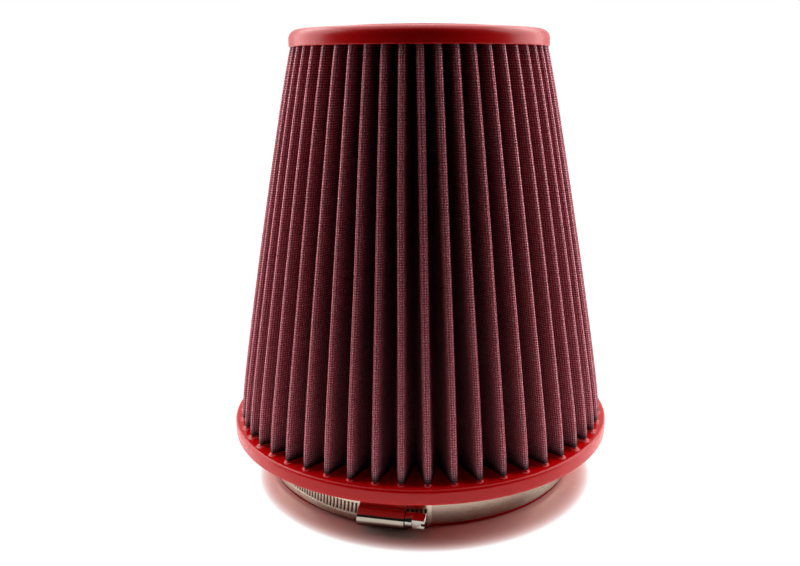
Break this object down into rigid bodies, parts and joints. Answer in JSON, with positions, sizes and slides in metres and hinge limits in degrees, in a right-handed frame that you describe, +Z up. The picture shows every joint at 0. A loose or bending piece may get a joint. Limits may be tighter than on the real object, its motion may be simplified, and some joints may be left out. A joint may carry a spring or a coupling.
{
  "type": "cone air filter",
  "caption": "Tapered pleated air filter with a moulded closed cap, a wide moulded flange with an inlet neck, and a worm-drive clamp round the neck.",
  "frame": {"origin": "centre of the inlet mouth, on the plane that the filter stands on", "axes": "+Z up the cone's axis, from the inlet mouth to the closed cap; the clamp's screw housing is near -Y"},
  "size_m": [0.2, 0.2, 0.2266],
  "materials": {
    "polyurethane": "moulded, satin to glossy",
    "mesh": "epoxy-coated wire mesh",
    "cotton": "oiled cotton gauze",
    "steel": "stainless strip",
    "screw_steel": "bright zinc-plated steel"
  },
  "bodies": {
    "filter": {"base_ring": "polyurethane", "outer_mesh": "mesh", "cotton_gauze": "cotton", "inner_mesh": "mesh", "end_cap": "polyurethane", "clamp_band": "steel", "clamp_housing": "steel"},
    "screw": {"clamp_screw": "screw_steel"}
  },
  "joints": [
    {"name": "screw_turn", "type": "hinge", "parent": "filter", "child": "screw", "pos_m": [-0.01777, -0.08583, 0.008], "axis": [0.9792, -0.2028, 0], "continuous": true}
  ]
}
